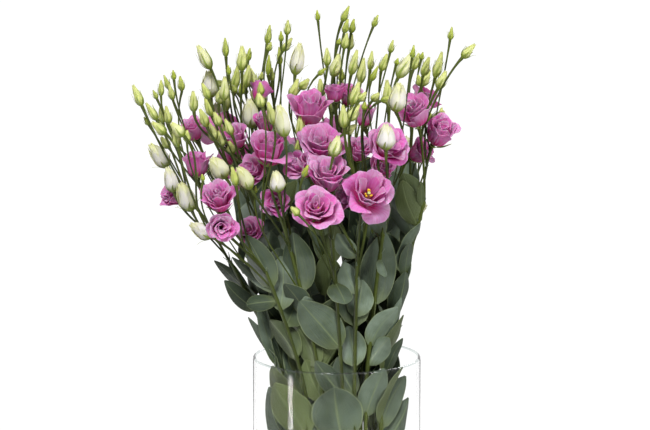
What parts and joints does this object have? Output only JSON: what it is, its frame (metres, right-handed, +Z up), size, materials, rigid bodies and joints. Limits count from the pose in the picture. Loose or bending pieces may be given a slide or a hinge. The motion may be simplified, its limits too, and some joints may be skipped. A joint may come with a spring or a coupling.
{
  "type": "lisianthus bouquet in a glass vase",
  "caption": "Full bunch of double pink lisianthus with cream and green buds and grey-green leaves, standing in water in a clear glass cylinder vase.",
  "frame": {"origin": "middle of the vase's underside, on the surface it stands on", "axes": "+Z up along the vase's axis, -Y towards the viewer, +X to the viewer's right"},
  "size_m": [0.3957, 0.3421, 0.6615],
  "materials": {
    "glass": "clear polished glass",
    "water": "clear still water",
    "foliage": "waxy grey-green leaf, green stem and cream-green bud",
    "petals": "soft pink petal"
  },
  "bodies": {
    "root": {"vase": "glass", "water": "water", "spray_01": "foliage", "spray_02": "foliage", "spray_03": "foliage", "spray_04": "foliage", "spray_05": "foliage", "spray_06": "foliage", "spray_07": "foliage", "spray_08": "foliage", "spray_09": "foliage", "spray_10": "foliage", "spray_11": "foliage", "spray_12": "foliage", "spray_13": "foliage", "spray_14": "foliage", "spray_15": "foliage", "spray_16": "foliage", "spray_17": "foliage", "spray_18": "foliage", "spray_19": "foliage", "flower_01": "petals", "flower_02": "petals", "flower_03": "petals", "flower_04": "petals", "flower_05": "petals", "flower_06": "petals", "flower_07": "petals", "flower_08": "petals", "flower_09": "petals", "flower_10": "petals", "flower_11": "petals", "flower_12": "petals", "flower_13": "petals", "flower_14": "petals", "flower_15": "petals", "flower_16": "petals", "flower_17": "petals", "flower_18": "petals", "flower_19": "petals", "flower_20": "petals", "flower_21": "petals", "flower_22": "petals", "flower_23": "petals", "flower_24": "petals", "flower_25": "petals", "flower_26": "petals", "flower_27": "petals", "flower_28": "petals", "flower_29": "petals", "flower_30": "petals", "flower_31": "petals", "flower_32": "petals", "flower_33": "petals", "flower_34": "petals", "flower_35": "petals", "flower_36": "petals", "flower_37": "petals", "flower_38": "petals"}
  },
  "joints": []
}
